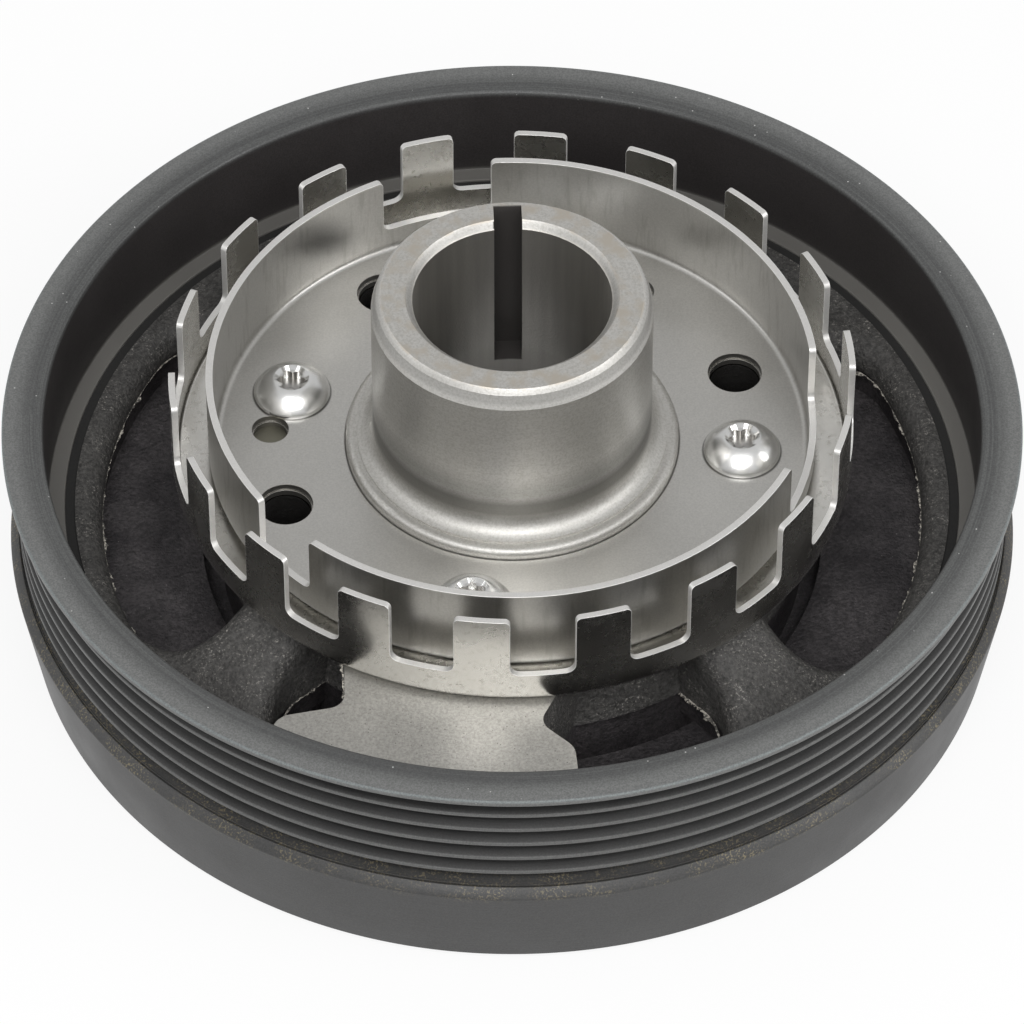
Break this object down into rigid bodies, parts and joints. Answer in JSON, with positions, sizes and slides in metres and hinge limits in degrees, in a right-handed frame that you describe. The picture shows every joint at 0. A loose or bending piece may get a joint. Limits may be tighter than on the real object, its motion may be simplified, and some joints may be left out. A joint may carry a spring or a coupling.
{
  "type": "harmonic balancer",
  "caption": "Crankshaft pulley with a grooved ring on rubber, a spoked cast hub with a machined nose and two stamped sensor rings.",
  "frame": {"origin": "on the bore's axis, at the height of the face that the object lies on", "axes": "+Z along the crankshaft bore towards the engine, X and Y in the plane of the belt; the picture looks along +Y"},
  "size_m": [0.1746, 0.1746, 0.0725],
  "materials": {
    "ring_paint": "black paint on turned iron",
    "rubber": "matte",
    "casting": "black coated casting with bare machined nose, seat and balance weight",
    "plated_sheet": "bright plated sheet",
    "plain_sheet": "satin sheet",
    "screw_zinc": "zinc plated"
  },
  "bodies": {
    "root": {"pulley_ring": "ring_paint", "damper_rubber": "rubber", "hub_casting": "casting", "outer_interrupter_ring": "plated_sheet", "inner_interrupter_ring": "plain_sheet", "interrupter_screws": "screw_zinc"}
  },
  "joints": []
}
